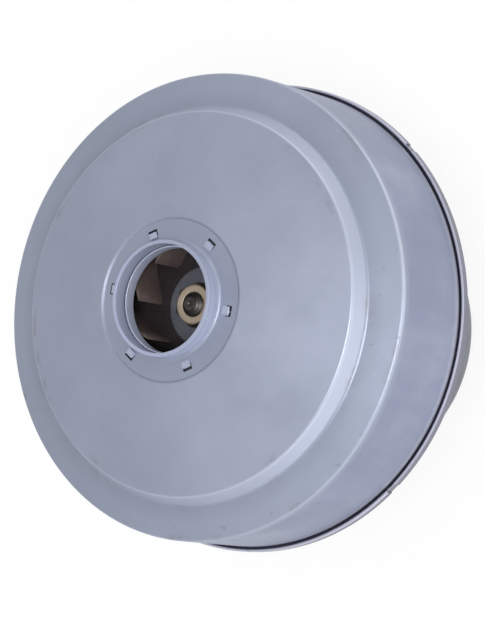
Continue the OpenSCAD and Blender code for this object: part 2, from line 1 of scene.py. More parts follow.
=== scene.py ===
import json
import math
import bpy
from mathutils import Matrix, Vector


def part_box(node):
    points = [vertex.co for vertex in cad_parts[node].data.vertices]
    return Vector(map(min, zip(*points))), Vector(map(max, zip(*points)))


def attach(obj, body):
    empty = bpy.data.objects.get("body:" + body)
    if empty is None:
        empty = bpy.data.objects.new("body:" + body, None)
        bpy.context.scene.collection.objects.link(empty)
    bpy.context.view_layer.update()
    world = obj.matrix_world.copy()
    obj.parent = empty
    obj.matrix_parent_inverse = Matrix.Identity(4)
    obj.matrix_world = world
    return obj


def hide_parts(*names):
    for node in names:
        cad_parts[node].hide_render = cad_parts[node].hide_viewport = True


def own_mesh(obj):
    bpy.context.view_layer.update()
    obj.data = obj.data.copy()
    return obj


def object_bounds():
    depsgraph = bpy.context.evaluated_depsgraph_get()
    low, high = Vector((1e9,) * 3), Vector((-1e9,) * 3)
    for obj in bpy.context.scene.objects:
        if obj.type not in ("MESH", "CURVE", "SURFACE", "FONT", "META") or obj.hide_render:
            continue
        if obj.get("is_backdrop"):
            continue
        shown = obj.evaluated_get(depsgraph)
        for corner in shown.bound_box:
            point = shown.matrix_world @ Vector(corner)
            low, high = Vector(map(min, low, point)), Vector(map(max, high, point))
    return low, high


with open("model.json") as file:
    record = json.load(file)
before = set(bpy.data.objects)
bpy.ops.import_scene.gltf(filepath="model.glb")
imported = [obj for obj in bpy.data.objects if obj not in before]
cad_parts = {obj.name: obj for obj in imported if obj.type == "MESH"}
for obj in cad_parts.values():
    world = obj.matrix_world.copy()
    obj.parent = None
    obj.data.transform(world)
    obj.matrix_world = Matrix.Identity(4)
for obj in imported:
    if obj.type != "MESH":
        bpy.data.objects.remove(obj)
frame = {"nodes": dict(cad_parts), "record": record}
cadLow, cadHigh = (list(corner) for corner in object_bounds())
nodes = frame["nodes"]
mm = 0.001
print("frame loaded:", len(nodes), "nodes")


# Finishes, with places and fades in metres

def newFinish(name):
    finish = bpy.data.materials.new(name)
    finish.use_nodes = True
    tree = finish.node_tree
    shader = tree.nodes["Principled BSDF"]
    place = tree.nodes.new("ShaderNodeTexCoord")
    return finish, tree, shader, place.outputs["Object"]


def addNode(tree, kind, **settings):
    node = tree.nodes.new(kind)
    for key, value in settings.items():
        if key in node.inputs:
            node.inputs[key].default_value = value
        else:
            setattr(node, key, value)
    return node


def addNoise(tree, place, scale, detail=3.0, rough=0.55, stretch=(1, 1, 1)):
    mapping = addNode(tree, "ShaderNodeMapping", Scale=stretch)
    noise = addNode(tree, "ShaderNodeTexNoise", Scale=scale, Detail=detail, Roughness=rough)
    tree.links.new(place, mapping.inputs["Vector"])
    tree.links.new(mapping.outputs["Vector"], noise.inputs["Vector"])
    return noise.outputs["Fac"]


def addRamp(tree, value, stops):
    ramp = addNode(tree, "ShaderNodeValToRGB")
    points = ramp.color_ramp.elements
    while len(points) < len(stops):
        points.new(0.5)
    for point, (at, shade) in zip(points, stops):
        point.position = at
        point.color = (*shade, 1)
    tree.links.new(value, ramp.inputs["Fac"])
    return ramp.outputs["Color"]


def addRange(tree, value, low, high, fromLow=0.3, fromHigh=0.7):
    span = addNode(tree, "ShaderNodeMapRange")
    span.inputs["From Min"].default_value = fromLow
    span.inputs["From Max"].default_value = fromHigh
    span.inputs["To Min"].default_value = low
    span.inputs["To Max"].default_value = high
    tree.links.new(value, span.inputs["Value"])
    return span.outputs["Result"]


def addMath(tree, work, a, b):
    node = addNode(tree, "ShaderNodeMath", operation=work)
    for socket, value in zip(node.inputs, (a, b)):
        if isinstance(value, (int, float)):
            socket.default_value = value
        else:
            tree.links.new(value, socket)
    return node.outputs["Value"]


def addBlend(tree, a, b, shareOfA):
    partA, partB = addMath(tree, "MULTIPLY", a, shareOfA), addMath(tree, "MULTIPLY", b, 1 - shareOfA)
    return addMath(tree, "ADD", partA, partB)


def addBump(tree, shader, height, strength, distance):
    bump = addNode(tree, "ShaderNodeBump", Strength=strength, Distance=distance)
    tree.links.new(height, bump.inputs["Height"])
    tree.links.new(bump.outputs["Normal"], shader.inputs["Normal"])


def mixColours(tree, share, under, over):
    mix = addNode(tree, "ShaderNodeMix", data_type="RGBA")
    tree.links.new(share, mix.inputs["Factor"])
    for socket, value in ((mix.inputs["A"], under), (mix.inputs["B"], over)):
        if isinstance(value, tuple):
            socket.default_value = (*value, 1)
        else:
            tree.links.new(value, socket)
    return mix.outputs["Result"]


def addPlaces(tree, place):
    split = addNode(tree, "ShaderNodeSeparateXYZ")
    tree.links.new(place, split.inputs["Vector"])
    x, y, height = split.outputs
    # The radius is compared as its square
    far = addMath(tree, "ADD", addMath(tree, "POWER", x, 2), addMath(tree, "POWER", y, 2))
    return x, height, far


def addBelow(tree, height, zone):
    return addRange(tree, height, 1.0, 0.0, zone["top"], zone["top"] + zone["fade"])


def addWithin(tree, far, zone):
    return addRange(tree, far, 1.0, 0.0, zone["out"] ** 2, (zone["out"] + zone["outFade"]) ** 2)


def addBand(tree, height, zone):
    footFade, topFade = zone["fades"]
    above = addRange(tree, height, 0.0, 1.0, zone["foot"] - footFade, zone["foot"])
    below = addRange(tree, height, 1.0, 0.0, zone["top"], zone["top"] + topFade)
    return addMath(tree, "MULTIPLY", above, below)


def layTone(tree, under, zone, *shares):
    total = zone["share"]
    for share in shares:
        total = addMath(tree, "MULTIPLY", share, total)
    return mixColours(tree, total, under, zone["tone"])


metalGrain = {"patch": 60, "patchDetail": 4, "patchShare": 0.6, "gritDetail": 2, "bump": (0.05, 0.0002)}
plasticGrain = {"patch": 45, "patchDetail": 4, "gritDetail": 2, "specular": 0.45, "bumpDepth": 0.0001}
toneStops = (0.3, 0.7)


def plainMetal(name, dark, light, roughness, grain=900, stretch=(1, 1, 1), metallic=1.0):
    finish, tree, shader, place = newFinish(name)
    shader.inputs["Metallic"].default_value = metallic
    patch = addNoise(tree, place, metalGrain["patch"], metalGrain["patchDetail"])
    grit = addNoise(tree, place, grain, metalGrain["gritDetail"], stretch=stretch)
    both = addBlend(tree, patch, grit, metalGrain["patchShare"])
    tree.links.new(addRamp(tree, both, list(zip(toneStops, (dark, light)))), shader.inputs["Base Color"])
    tree.links.new(addRange(tree, both, *roughness), shader.inputs["Roughness"])
    addBump(tree, shader, grit, *metalGrain["bump"])
    return finish


def mouldedPlastic(name, dark, light, roughness, grain=1400, bump=0.12):
    finish, tree, shader, place = newFinish(name)
    patch = addNoise(tree, place, plasticGrain["patch"], plasticGrain["patchDetail"])
    grit = addNoise(tree, place, grain, plasticGrain["gritDetail"])
    tree.links.new(addRamp(tree, patch, list(zip(toneStops, (dark, light)))), shader.inputs["Base Color"])
    tree.links.new(addRange(tree, patch, *roughness), shader.inputs["Roughness"])
    shader.inputs["Specular IOR Level"].default_value = plasticGrain["specular"]
    addBump(tree, shader, grit, bump, plasticGrain["bumpDepth"])
    return finish


zinc = {
    "metallic": 0.5, "roughness": (0.38, 0.52), "bump": (0.04, 0.0002),
    "cloud": {"scale": 26, "detail": 5, "rough": 0.62},
    "fleck": {"scale": 520, "detail": 3, "rough": 0.6},
    "tones": [(0.28, (0.272, 0.300, 0.380)), (0.5, (0.304, 0.332, 0.422)), (0.75, (0.340, 0.366, 0.458))],
    "ring": {"tone": (0.250, 0.285, 0.360), "share": 0.25, "top": 0.1047, "fade": 0.0004},
    "flat": {"tone": (0.250, 0.275, 0.345), "share": 0.25, "out": 0.0222, "outFade": 0.0003},
    "slot": {"tone": (0.034, 0.035, 0.062), "share": 0.85, "top": 0.1161, "fade": 0.0001},
    "wall": {"top": 0.0990, "fade": 0.003, "streakShare": 0.4},
    "wallTones": [(0.34, (0.186, 0.208, 0.298)), (0.5, (0.222, 0.246, 0.340)), (0.64, (0.290, 0.315, 0.406))],
    "streak": {"scale": 70, "detail": 3, "rough": 0.5, "stretch": (1, 1, 0.15)},
    "smudge": {"scale": 24, "detail": 4, "rough": 0.6},
    "edge": {"tone": (0.46, 0.47, 0.55), "share": 1.0, "top": 0.0734, "fade": 0.0021},
    "rimSideShade": {"tone": (0.176, 0.180, 0.226), "share": 1.0, "top": 0.0724, "fade": 0.0002},
    "gap": {"tone": (0.034, 0.035, 0.062), "share": 1.0, "foot": 0.0712, "top": 0.0725,
            "fades": (0.0001, 0.0002), "out": 0.0669, "outFade": 0.0001},
    "frame": {"out": 0.052, "outFade": 0.001},
    "frameTones": [(0.35, (0.130, 0.135, 0.160)), (0.65, (0.200, 0.207, 0.238))],
    "collar": {"tone": (0.365, 0.395, 0.550), "share": 0.8, "metallic": 0.28, "foot": 0.1168, "fade": 0.0003},
    "drawLines": {"scale": 1100, "detail": 1, "rough": 0.5, "stretch": (0.02, 0.02, 1)},
    "drawRange": (0.2, 1.0, 0.40, 0.60),
    "flankHighlight": {"tone": (0.365, 0.394, 0.485), "share": 0.7, "foot": 0.1054, "top": 0.1087,
             "fades": (0.0003, 0.0003)},
    "shoulderGlint": {"tone": (0.480, 0.510, 0.600), "share": 0.6, "foot": 0.1018, "top": 0.1024,
             "fades": (0.0002, 0.0002), "at": 0.026, "reach": 0.016, "least": 0.2},
    "valleyShade": {"tone": (0.195, 0.222, 0.285), "share": 0.35, "foot": 0.1049, "top": 0.1052,
               "fades": (0.0013, 0.0003)},
    "crestHighlight": {"tone": (0.480, 0.510, 0.600), "share": 0.35, "foot": 0.1086, "top": 0.1090,
              "fades": (0.0003, 0.0002)},
    "scuff": {"tone": (0.200, 0.185, 0.180), "share": 0.55, "core": 0.0001},
    "scuffs": ((0.1052, 0.0011), (0.1026, 0.0004), (0.1094, 0.0003)),
    "scuffPatch": {"scale": 90, "detail": 5, "rough": 0.7},
    "scuffRange": (0.0, 1.0, 0.56, 0.70),
    "nick": {"tone": (0.120, 0.125, 0.150), "share": 0.3},
    "nickSpots": {"scale": 420, "detail": 2, "rough": 0.5, "stretch": (1, 0.6, 0.6)},
    "nickRange": (0.0, 1.0, 0.72, 0.76),
    "spark": {"tone": (0.45, 0.48, 0.56), "share": 0.15},
    "sparkRange": (0.0, 1.0, 0.62, 0.78),
}


def zincPlating():
    finish, tree, shader, place = newFinish("zincPlating")
    x, height, far = addPlaces(tree, place)
    cloud = addNoise(tree, place, **zinc["cloud"])
    fleck = addNoise(tree, place, **zinc["fleck"])
    tone = addRamp(tree, cloud, zinc["tones"])
    # The outer ring and the sunk flat are a little darker than the cone
    belowStep = addBelow(tree, height, zinc["ring"])
    overFlat = addWithin(tree, far, zinc["flat"])
    tone = layTone(tree, tone, zinc["ring"], belowStep)
    tone = layTone(tree, tone, zinc["flat"], overFlat)
    # The cut sides of the slots are painted dark: painted shade down in the slots
    tone = layTone(tree, tone, zinc["slot"], overFlat, addBelow(tree, height, zinc["slot"]))
    # Drawn walls carry upright streaks with a bluer tint
    streak, smudge = (addNoise(tree, place, **zinc[name]) for name in ("streak", "smudge"))
    wallTone = addRamp(tree, addBlend(tree, streak, smudge, zinc["wall"]["streakShare"]), zinc["wallTones"])
    tone = mixColours(tree, addBelow(tree, height, zinc["wall"]), tone, wallTone)
    # The rim top is painted bright, and the wall is painted lighter down towards it: painted light that
    # offsets the shade by the gap
    tone = layTone(tree, tone, zinc["edge"], addBelow(tree, height, zinc["edge"]))
    # Painted shade: the rim's outer side below its top is darker
    belowEdge = addBelow(tree, height, zinc["rimSideShade"])
    tone = layTone(tree, tone, zinc["rimSideShade"], belowEdge)
    # The gap between wall and rim is painted dark as shade
    gap = zinc["gap"]
    tone = layTone(tree, tone, gap, addBand(tree, height, gap), addWithin(tree, far, gap))
    # The motor frame is duller than the fan end
    onFrame = addMath(tree, "MULTIPLY", belowEdge, addWithin(tree, far, zinc["frame"]))
    tone = mixColours(tree, onFrame, tone, addRamp(tree, cloud, zinc["frameTones"]))
    # Fine rings from drawing show on the collar
    collar = zinc["collar"]
    onCollar = addRange(tree, height, 0.0, 1.0, collar["foot"], collar["foot"] + collar["fade"])
    lines = addRange(tree, addNoise(tree, place, **zinc["drawLines"]), *zinc["drawRange"])
    tone = layTone(tree, tone, collar, onCollar, lines)
    metallic = addRange(tree, onCollar, zinc["metallic"], collar["metallic"], 0.0, 1.0)
    tree.links.new(metallic, shader.inputs["Metallic"])
    # The step's flank is painted lighter: a painted highlight for the light falling on it
    tone = layTone(tree, tone, zinc["flankHighlight"], addBand(tree, height, zinc["flankHighlight"]))
    # The shoulder's bend is painted bright, a painted highlight that is fullest over one length of it
    shoulderGlint = zinc["shoulderGlint"]
    aside = addMath(tree, "ABSOLUTE", addMath(tree, "SUBTRACT", x, shoulderGlint["at"]), 0)
    glintSpan = addRange(tree, aside, 1.0, shoulderGlint["least"], shoulderGlint["reach"], 2 * shoulderGlint["reach"])
    tone = layTone(tree, tone, shoulderGlint, addBand(tree, height, shoulderGlint), glintSpan)
    # Painted shade darkens the valley beside the step's foot, and a painted highlight lightens its crest
    for name in ("valleyShade", "crestHighlight"):
        tone = layTone(tree, tone, zinc[name], addBand(tree, height, zinc[name]))
    # Scuffs lie along the bends
    patchy = addRange(tree, addNoise(tree, place, **zinc["scuffPatch"]), *zinc["scuffRange"])
    for at, reach in zinc["scuffs"]:
        near = addMath(tree, "ABSOLUTE", addMath(tree, "SUBTRACT", height, at), 0)
        beside = addRange(tree, near, 1.0, 0.0, zinc["scuff"]["core"], reach)
        tone = layTone(tree, tone, zinc["scuff"], beside, patchy)
    nicks = addRange(tree, addNoise(tree, place, **zinc["nickSpots"]), *zinc["nickRange"])
    tone = layTone(tree, tone, zinc["nick"], nicks, belowStep)
    tone = layTone(tree, tone, zinc["spark"], addRange(tree, fleck, *zinc["sparkRange"]))
    tree.links.new(tone, shader.inputs["Base Color"])
    tree.links.new(addRange(tree, cloud, *zinc["roughness"]), shader.inputs["Roughness"])
    addBump(tree, shader, fleck, *zinc["bump"])
    return finish


sheets = {
    "metallic": 1.0, "waves": {"Scale": 320.0, "Distortion": 0.4, "Detail": 1.0, "bands_direction": "Z"},
    "tones": [(0.2, (0.07, 0.07, 0.08)), (0.8, (0.26, 0.26, 0.28))],
    "patch": 90, "roughness": (0.42, 0.6), "bump": (0.4, 0.0002),
}
copper = {
    "metallic": 0.85,
    "waves": {"Scale": 380.0, "Distortion": 2.5, "Detail": 1.0, "wave_type": "RINGS", "rings_direction": "Z"},
    "tones": [(0.1, (0.10, 0.03, 0.012)), (0.6, (0.42, 0.15, 0.06))],
    "patch": 80, "roughness": (0.28, 0.42), "bump": (0.7, 0.0004),
}


def wavyMetal(name, look):
    finish, tree, shader, place = newFinish(name)
    shader.inputs["Metallic"].default_value = look["metallic"]
    waves = addNode(tree, "ShaderNodeTexWave", **look["waves"])
    tree.links.new(place, waves.inputs["Vector"])
    tree.links.new(addRamp(tree, waves.outputs["Fac"], look["tones"]), shader.inputs["Base Color"])
    patch = addNoise(tree, place, look["patch"])
    tree.links.new(addRange(tree, patch, *look["roughness"]), shader.inputs["Roughness"])
    addBump(tree, shader, waves.outputs["Fac"], *look["bump"])
    return finish


nutFace = {
    "tone": (0.49, 0.40, 0.29), "share": 1.0, "side": (0.085, 0.070, 0.055), "edge": 0.00012,
    "metallic": 0.6, "grit": {"scale": 500, "detail": 3}, "shade": (0.75, 1.0), "roughness": (0.38, 0.5),
    "bump": (0.05, 0.0002),
}


def shadedNutFinish():
    finish, tree, shader, place = newFinish("yellowZinc")
    shader.inputs["Metallic"].default_value = nutFace["metallic"]
    grit = addNoise(tree, place, **nutFace["grit"])
    height = addPlaces(tree, place)[1]
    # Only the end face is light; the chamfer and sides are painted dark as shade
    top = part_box("impeller_nut")[1].z
    onFace = addRange(tree, height, 0.0, 1.0, top - 2 * nutFace["edge"], top - nutFace["edge"])
    tone = layTone(tree, nutFace["side"], nutFace, onFace, addRange(tree, grit, *nutFace["shade"]))
    tree.links.new(tone, shader.inputs["Base Color"])
    tree.links.new(addRange(tree, grit, *nutFace["roughness"]), shader.inputs["Roughness"])
    addBump(tree, shader, grit, *nutFace["bump"])
    return finish


tabMetal = {
    "tones": ((0.42, 0.46, 0.60), (0.56, 0.60, 0.74)), "roughness": (0.32, 0.42), "metallic": 0.35,
    "sleeve": {"out": 0.0165, "outFade": 0.0001},
    "tab": {"tone": (0.34, 0.37, 0.47), "share": 0.8},
    "deep": {"tone": (0.050, 0.053, 0.064), "share": 1.0, "top": 0.1161, "fade": 0.0001},
}


def bentTabs():
    finish = plainMetal("tabMetal", *tabMetal["tones"], tabMetal["roughness"], metallic=tabMetal["metallic"])
    tree = finish.node_tree
    tint = tree.nodes["Principled BSDF"].inputs["Base Color"]
    height, far = addPlaces(tree, tree.nodes["Texture Coordinate"].outputs["Object"])[1:]
    # The tabs are duller than the sleeve, and what lies down in their slots is painted dark as shade
    outside = addMath(tree, "SUBTRACT", 1.0, addWithin(tree, far, tabMetal["sleeve"]))
    tone = layTone(tree, tint.links[0].from_socket, tabMetal["tab"], outside)
    tone = layTone(tree, tone, tabMetal["deep"], outside, addBelow(tree, height, tabMetal["deep"]))
    tree.links.new(tone, tint)
    return finish


finishes = {
    "zinc_plate": zincPlating(),
    "seal_metal": bentTabs(),
    "seal_ring": mouldedPlastic("sealPlastic", (0.055, 0.055, 0.06), (0.08, 0.08, 0.085), (0.5, 0.65)),
    "vane_plastic": mouldedPlastic("vanePlastic", (0.030, 0.030, 0.033), (0.05, 0.05, 0.055), (0.45, 0.6)),
    "zinc_screw": plainMetal("zincScrew", (0.30, 0.31, 0.34), (0.45, 0.46, 0.50), (0.28, 0.42)),
    "spring_steel": plainMetal("springSteel", (0.34, 0.34, 0.35), (0.50, 0.50, 0.51), (0.22, 0.35)),
    "bearing_steel": plainMetal("bearingSteel", (0.48, 0.48, 0.49), (0.60, 0.60, 0.61), (0.12, 0.22)),
    "cage_nylon": mouldedPlastic("cageNylon", (0.45, 0.36, 0.20), (0.58, 0.48, 0.28), (0.4, 0.55)),
    "shaft_steel": plainMetal("shaftSteel", (0.060, 0.055, 0.050), (0.120, 0.110, 0.100), (0.40, 0.55),
                              grain=700, stretch=(1, 1, 0.1)),
    "impeller_sheet": plainMetal("impellerSheet", (0.222, 0.167, 0.152), (0.330, 0.253, 0.224), (0.40, 0.55),
                                 metallic=0.6),
    "black_steel": plainMetal("blackSteel", (0.130, 0.136, 0.160), (0.195, 0.202, 0.235), (0.42, 0.55),
                              metallic=0.6),
    "yellow_zinc": shadedNutFinish(),
    "lamination": wavyMetal("stackedSheets", sheets),
    "enamel_copper": wavyMetal("woundCopper", copper),
    "commutator_resin": mouldedPlastic("mouldingResin", (0.06, 0.03, 0.02), (0.11, 0.06, 0.035),
                                       (0.4, 0.55)),
    "commutator_copper": plainMetal("trackCopper", (0.45, 0.20, 0.10), (0.66, 0.34, 0.20), (0.2, 0.34),
                                    grain=600, stretch=(1, 1, 6)),
    "insulation": mouldedPlastic("insulatingSheet", (0.58, 0.54, 0.43), (0.72, 0.68, 0.57), (0.55, 0.7)),
    "holder_plastic": mouldedPlastic("holderPlastic", (0.018, 0.018, 0.02), (0.032, 0.032, 0.035),
                                     (0.4, 0.55)),
    "brass": plainMetal("rolledBrass", (0.52, 0.36, 0.13), (0.68, 0.50, 0.22), (0.25, 0.38)),
    "carbon": mouldedPlastic("pressedCarbon", (0.018, 0.018, 0.02), (0.04, 0.04, 0.045), (0.45, 0.6),
                             grain=2200, bump=0.25),
}
# The back plate gets a darker copy of the impeller sheet: painted shade for its deep, unlit place
shadedPlateSheet = plainMetal("shadedPlateSheet", (0.032, 0.026, 0.029), (0.058, 0.046, 0.050), (0.45, 0.6),
                         metallic=0.6)


def setFinish(piece, finish):
    piece.data.materials.clear()
    piece.data.materials.append(finish)


slotOf = {row["node"]: row["material_slot"] for row in frame["record"]["subparts"]}
for nodeName, nodeObject in nodes.items():
    setFinish(nodeObject, finishes[slotOf[nodeName]])
setFinish(nodes["impeller_back_plate"], shadedPlateSheet)
print("finishes set:", len(finishes))


# Shaping, with sizes in millimetres and angles in degrees

over = 1.0  # how far a cutter stands out of what it cuts
weld = 1e-6  # metres between points that are one


def makeActive(piece):
    bpy.ops.object.select_all(action="DESELECT")
    piece.select_set(True)
    bpy.context.view_layer.objects.active = piece


def pathOf(*points):
    return [Vector(point) for point in points]


def roundCorners(corners, steps=8):
    path = []
    for i, (r, z, bend) in enumerate(corners):
        here = Vector((r, z))
        if bend == 0:
            path.append(here)
            continue
        before = (Vector(corners[i - 1][:2]) - here).normalized()
        after = (Vector(corners[(i + 1) % len(corners)][:2]) - here).normalized()
        half = before.angle(after) / 2
        middle = here + (before + after).normalized() * (bend / math.sin(half))
        first = here + before * (bend / math.tan(half)) - middle
        last = here + after * (bend / math.tan(half)) - middle
        span = math.pi - 2 * half
        for k in range(steps + 1):
            share = k / steps
            bow = first * math.sin(span * (1 - share)) + last * math.sin(span * share)
            path.append(middle + bow / math.sin(span))
    return path


def besidePath(path, gap):
    moved = []
    for i, here in enumerate(path):
        ways = []
        for a, b in ((i - 1, i), (i, i + 1)):
            if a >= 0 and b < len(path):
                way = (path[b] - path[a]).normalized()
                ways.append(Vector((-way.y, way.x)))
        moved.append(here + (ways[0] + ways[-1]) * (gap / (1 + ways[0].dot(ways[-1]))))
    return moved


def sheetPath(corners, thickness, endBend=0, endSteps=3):
    outer = roundCorners(corners)
    inner = besidePath(outer, thickness)[::-1]
    if endBend == 0:
        return outer + inner
    ends = [(*outer[-2], 0), (*outer[-1], endBend), (*inner[0], endBend), (*inner[1], 0)]
    return outer[:-1] + roundCorners(ends, endSteps)[1:-1] + inner[1:]


def closeHoles():
    bpy.ops.mesh.select_all(action="DESELECT")
    bpy.ops.mesh.select_non_manifold()
    bpy.ops.mesh.fill_holes(sides=0)
    bpy.ops.mesh.select_all(action="SELECT")


def spinShape(name, path, steps=192, spread=360):
    bpy.ops.object.select_all(action="DESELECT")
    bpy.ops.mesh.primitive_plane_add(size=mm)
    piece = bpy.context.object
    piece.name = name
    bpy.ops.object.mode_set(mode="EDIT")
    bpy.ops.mesh.select_mode(type="VERT")
    bpy.ops.mesh.merge(type="CENTER")
    bpy.ops.transform.translate(value=(path[0].x * mm, 0, path[0].y * mm))
    for here, there in zip(path, path[1:] + path[:1]):
        step = ((there.x - here.x) * mm, 0, (there.y - here.y) * mm)
        bpy.ops.mesh.extrude_region_move(TRANSFORM_OT_translate={"value": step})
    bpy.ops.mesh.select_all(action="SELECT")
    bpy.ops.mesh.remove_doubles(threshold=weld)
    bpy.ops.mesh.spin(steps=steps, angle=math.radians(spread), center=(0, 0, 0), axis=(0, 0, 1))
    bpy.ops.mesh.select_all(action="SELECT")
    bpy.ops.mesh.remove_doubles(threshold=weld)
    if spread < 360:
        closeHoles()
    bpy.ops.mesh.normals_make_consistent(inside=False)
    bpy.ops.object.mode_set(mode="OBJECT")
    return piece


def boxShape(name, low, high):
    bpy.ops.object.select_all(action="DESELECT")
    bpy.ops.mesh.primitive_cube_add(size=1)
    piece = bpy.context.object
    piece.name = name
    piece.scale = [(b - a) * mm for a, b in zip(low, high)]
    piece.location = [(a + b) / 2 * mm for a, b in zip(low, high)]
    bpy.ops.object.transform_apply(location=True, rotation=True, scale=True)
    return piece


def rodShape(name, radius, low, high, sides):
    bpy.ops.object.select_all(action="DESELECT")
    bpy.ops.mesh.primitive_cylinder_add(vertices=sides, radius=radius * mm, depth=(high - low) * mm,
                                        location=(0, 0, (low + high) / 2 * mm))
    piece = bpy.context.object
    piece.name = name
    bpy.ops.object.transform_apply(location=True, rotation=True, scale=True)
    return piece


def placeShape(piece, turn=0, shift=(0, 0, 0), tip=(0, 0, 0)):
    for turnAngles, moveBy in ((tip, shift), ((0, 0, turn), (0, 0, 0))):
        piece.rotation_euler = [math.radians(angle) for angle in turnAngles]
        piece.location = [value * mm for value in moveBy]
        makeActive(piece)
        bpy.ops.object.transform_apply(location=True, rotation=True, scale=True)
    return piece


def aimShape(piece, angle):
    middle = sum((vertex.co for vertex in piece.data.vertices), Vector()) / len(piece.data.vertices)
    return placeShape(piece, angle - math.degrees(math.atan2(middle.y, middle.x)))


def joinShapes(name, *pieces):
    makeActive(pieces[0])
    for piece in pieces:
        piece.select_set(True)
    bpy.ops.object.join()
    pieces[0].name = name
    return pieces[0]


def cutAway(piece, cutter, work="DIFFERENCE"):
    cut = piece.modifiers.new("cut", "BOOLEAN")
    cut.operation = work
    cut.solver = "EXACT"
    cut.object = cutter
    makeActive(piece)
    bpy.ops.object.modifier_apply(modifier=cut.name)
    bpy.data.objects.remove(cutter)


def softEdges(piece, width, segments, angle=40):
    soft = piece.modifiers.new("soft", "BEVEL")
    soft.width = width * mm
    soft.segments = segments
    soft.limit_method = "ANGLE"
    soft.angle_limit = math.radians(angle)
    makeActive(piece)
    bpy.ops.object.modifier_apply(modifier=soft.name)


def cadCopy(node, name, flat=1.0):
    piece = nodes[node].copy()
    piece.data = nodes[node].data.copy()
    piece.name = name
    bpy.context.scene.collection.objects.link(piece)
    piece.parent = None
    piece.matrix_world = nodes[node].matrix_world.copy()
    makeActive(piece)
    bpy.ops.object.transform_apply(location=True, rotation=True, scale=True)
    bpy.ops.object.mode_set(mode="EDIT")
    bpy.ops.mesh.select_all(action="SELECT")
    bpy.ops.mesh.remove_doubles(threshold=2 * weld)
    bpy.ops.mesh.customdata_custom_splitnormals_clear()
    bpy.ops.mesh.dissolve_limited(angle_limit=math.radians(flat))
    bpy.ops.mesh.normals_make_consistent(inside=False)
    bpy.ops.object.mode_set(mode="OBJECT")
    return piece


def finishPiece(piece, body, slotName, *replaced, angle=35):
    makeActive(piece)
    bpy.ops.object.shade_smooth_by_angle(angle=math.radians(angle))
    setFinish(piece, finishes[slotName])
    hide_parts(*replaced)
    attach(piece, body)


# Fan end

coverLow, coverHigh = (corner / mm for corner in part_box("fan_cover"))
cover = {
    "wall": coverHigh.x, "foot": coverLow.z, "top": coverHigh.z, "sheet": 1.0,
    "spigot": 0.2, "spigotTop": 73.5, "shoulder": 102.5, "shoulderBend": 1.0, "taper": 0.6,
    "stepFoot": (55.7, 104.9, 1.5), "stepTop": (53.4, 109.1, 1.1), "coneTop": (22.9, 116.9, 0.85),
    "sunk": 0.6, "sunkBend": 0.3, "collar": 16.0, "collarBend": 1.0, "lipEdge": 0.15,
    "steps": 256, "smooth": 30,
}
cover["flat"] = cover["coneTop"][1] - cover["sunk"]
tabs = {
    "count": 6, "first": 30, "radius": 19.45, "width": 2.4, "sheet": 0.6, "bend": 0.22, "bendSteps": 3,
    "room": 0.8, "gap": 0.3, "slotDepth": 3.0,
}


def addCover():
    wall, foot, flat, collar = cover["wall"], cover["foot"], cover["flat"], cover["collar"]
    path = sheetPath([
        (wall - cover["spigot"], foot, 0), (wall - cover["spigot"], cover["spigotTop"], 0),
        (wall, cover["spigotTop"] + cover["spigot"], 0),
        (wall - cover["taper"], cover["shoulder"], cover["shoulderBend"]),
        cover["stepFoot"], cover["stepTop"], cover["coneTop"],
        (cover["coneTop"][0] - cover["sunk"], flat, cover["sunkBend"]), (collar, flat, cover["collarBend"]),
        (collar, cover["top"], 0)], cover["sheet"], cover["lipEdge"])
    piece = spinShape("fanCover", path, cover["steps"])
    half = tabs["width"] / 2 + tabs["gap"]
    inner = tabs["radius"] - tabs["sheet"] / 2 - tabs["gap"]
    outer = tabs["radius"] + tabs["sheet"] / 2 + tabs["room"]
    for k in range(tabs["count"]):
        slot = boxShape("slotCutter", (inner, -half, flat - tabs["slotDepth"]), (outer, half, flat + over))
        cutAway(piece, placeShape(slot, tabs["first"] + 360 / tabs["count"] * k))
    finishPiece(piece, "motor_body", "zinc_plate", "fan_cover", angle=cover["smooth"])


holderLow, holderHigh = (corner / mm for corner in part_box("seal_holder"))
holder = {
    "inner": 14.6, "outer": holderHigh.x, "low": holderLow.z, "lift": 0.8, "sheet": 0.7, "skirt": 1.5,
    "lip": 0.38, "lipRise": 1.3, "lipBend": 0.18, "footBend": 0.3, "innerBend": 0.2, "outerBend": 0.5,
    "bendSteps": 4, "steps": 160,
}


